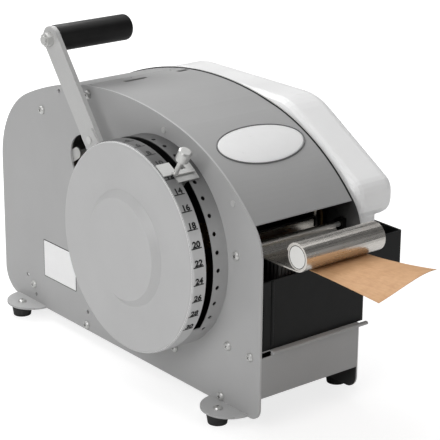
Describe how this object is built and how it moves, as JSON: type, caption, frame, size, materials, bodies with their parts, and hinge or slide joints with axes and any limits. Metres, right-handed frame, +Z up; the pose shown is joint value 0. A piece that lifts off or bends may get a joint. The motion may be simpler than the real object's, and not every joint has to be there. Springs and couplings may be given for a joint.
{
  "type": "gummed tape dispenser",
  "caption": "Counter-top dispenser for water-activated paper tape, with a pull lever, a length dial with a movable stop, a brush tank with a water bottle, and a hinged top weight.",
  "frame": {"origin": "middle of the width on the counter, below the lever shaft", "axes": "+X to the machine's right, away from the dial; +Y to the rear; +Z up"},
  "size_m": [0.231, 0.576, 0.3399],
  "materials": {
    "plate": "satin grey enamel",
    "dial": "satin light grey enamel",
    "ring": "satin mid grey enamel",
    "sheet": "satin grey enamel",
    "steel": "ground",
    "zinc": "bright zinc plate",
    "gear": "machined",
    "bronze": "plain",
    "bright": "bright nickel",
    "dark": "matt",
    "knurl": "knurled",
    "grip": "fine grain",
    "tank": "satin",
    "bottle": "translucent white",
    "bristle": "natural bristle",
    "paper": "brown kraft paper",
    "board": "grey-brown board"
  },
  "bodies": {
    "frame": {"left_side_plate": "plate", "right_side_plate": "plate", "tank_shelf": "sheet", "floor_pan": "sheet", "rear_cover": "plate", "cover_rest_strips": "sheet", "dial_cap": "dial", "index_ring": "ring", "bearing_bushes": "bronze", "tape_guide": "steel", "knife_bed": "steel", "knife_guide_posts": "steel", "lower_blade": "steel", "hinge_rods": "zinc", "bottle_ledge": "sheet", "cradle_brackets": "sheet", "roller_spindles": "zinc", "tape_web": "paper", "tape_strip": "paper", "spring_anchor": "zinc", "rubber_feet": "dark", "foot_screws": "zinc", "plate_screws": "zinc", "cross_screws": "zinc", "plate_rivets": "plate", "shelf_nuts": "zinc"},
    "lever": {"main_shaft": "steel", "lever_hub_plate": "zinc", "lever_arm": "zinc", "lever_rivets": "zinc", "grip_bolt": "zinc", "drive_sector": "gear", "spring_crank": "gear", "return_spring": "zinc"},
    "grip": {"lever_grip": "grip"},
    "stop": {"stop_carriage": "zinc"},
    "plunger": {"stop_plunger": "bright"},
    "idler": {"idler_shaft": "steel", "idler_pinion": "bronze", "idler_gear": "bronze"},
    "feed": {"feed_pinion": "gear", "feed_shaft": "steel", "feed_roller": "knurl"},
    "pressure_arm": {"pressure_arm": "sheet"},
    "pressure_roller": {"pressure_roller": "dark"},
    "knife": {"upper_knife": "steel", "upper_blade": "steel", "knife_link": "bronze"},
    "weight": {"weight_sheet": "bright", "weight_bar": "bright"},
    "cover": {"top_cover": "plate"},
    "tank": {"water_tank": "tank", "brush_holder": "tank", "brush_bristles": "bristle"},
    "bottle": {"water_bottle": "bottle", "bottle_cap": "tank"},
    "roll": {"tape_roll": "paper", "tape_core": "board"},
    "support_front": {"support_roller_front": "steel"},
    "support_rear": {"support_roller_rear": "steel"}
  },
  "joints": [
    {"name": "lever_pull", "type": "hinge", "parent": "frame", "child": "lever", "pos_m": [0, 0, 0.152], "axis": [1, 0, 0], "range_deg": [0, 68], "deforming": ["return_spring"]},
    {"name": "grip_spin", "type": "hinge", "parent": "lever", "child": "grip", "pos_m": [0, 0.1513, 0.3264], "axis": [1, 0, 0], "continuous": true},
    {"name": "stop_move", "type": "hinge", "parent": "frame", "child": "stop", "pos_m": [0, 0, 0.152], "axis": [1, 0, 0], "range_deg": [0, 86.4]},
    {"name": "plunger_lift", "type": "slide", "parent": "stop", "child": "plunger", "axis": [0, -0.5255, 0.8508], "range_m": [0, 0.005]},
    {"name": "idler_spin", "type": "hinge", "parent": "frame", "child": "idler", "pos_m": [0, -0.08133, 0.18071], "axis": [1, 0, 0], "continuous": true},
    {"name": "feed_spin", "type": "hinge", "parent": "frame", "child": "feed", "pos_m": [0, -0.068, 0.147], "axis": [1, 0, 0], "continuous": true},
    {"name": "pressure_arm_lift", "type": "hinge", "parent": "frame", "child": "pressure_arm", "pos_m": [0, -0.038, 0.1913], "axis": [-1, 0, 0], "range_deg": [0, 20]},
    {"name": "pressure_spin", "type": "hinge", "parent": "pressure_arm", "child": "pressure_roller", "pos_m": [0, -0.068, 0.1773], "axis": [1, 0, 0], "continuous": true},
    {"name": "knife_lift", "type": "slide", "parent": "frame", "child": "knife", "axis": [0, 0, 1], "range_m": [0, 0.008]},
    {"name": "weight_lift", "type": "hinge", "parent": "frame", "child": "weight", "pos_m": [0, -0.1275, 0.178], "axis": [-1, 0, 0], "range_deg": [0, 35]},
    {"name": "cover_open", "type": "hinge", "parent": "frame", "child": "cover", "pos_m": [0, 0.121, 0.2715], "axis": [-1, 0, 0], "range_deg": [0, 80]},
    {"name": "tank_slide", "type": "slide", "parent": "frame", "child": "tank", "axis": [0, -1, 0], "range_m": [0, 0.08]},
    {"name": "bottle_lift", "type": "slide", "parent": "tank", "child": "bottle", "axis": [0, 0, 1], "range_m": [0, 0.08]},
    {"name": "roll_spin", "type": "hinge", "parent": "frame", "child": "roll", "pos_m": [0, 0.158, 0.1096], "axis": [1, 0, 0], "continuous": true},
    {"name": "support_front_spin", "type": "hinge", "parent": "frame", "child": "support_front", "pos_m": [0, 0.12, 0.04], "axis": [1, 0, 0], "continuous": true},
    {"name": "support_rear_spin", "type": "hinge", "parent": "frame", "child": "support_rear", "pos_m": [0, 0.196, 0.04], "axis": [1, 0, 0], "continuous": true}
  ],
  "couplings": [
    {"joint": "idler_spin", "follows": "lever_pull", "ratio": -6.6667},
    {"joint": "feed_spin", "follows": "lever_pull", "ratio": 14.815},
    {"joint": "pressure_spin", "follows": "lever_pull", "ratio": -33.745},
    {"joint": "knife_lift", "follows": "lever_pull", "m_per_rad": 0.0067406},
    {"joint": "support_front_spin", "follows": "roll_spin", "ratio": -7.7778},
    {"joint": "support_rear_spin", "follows": "roll_spin", "ratio": -7.7778}
  ]
}
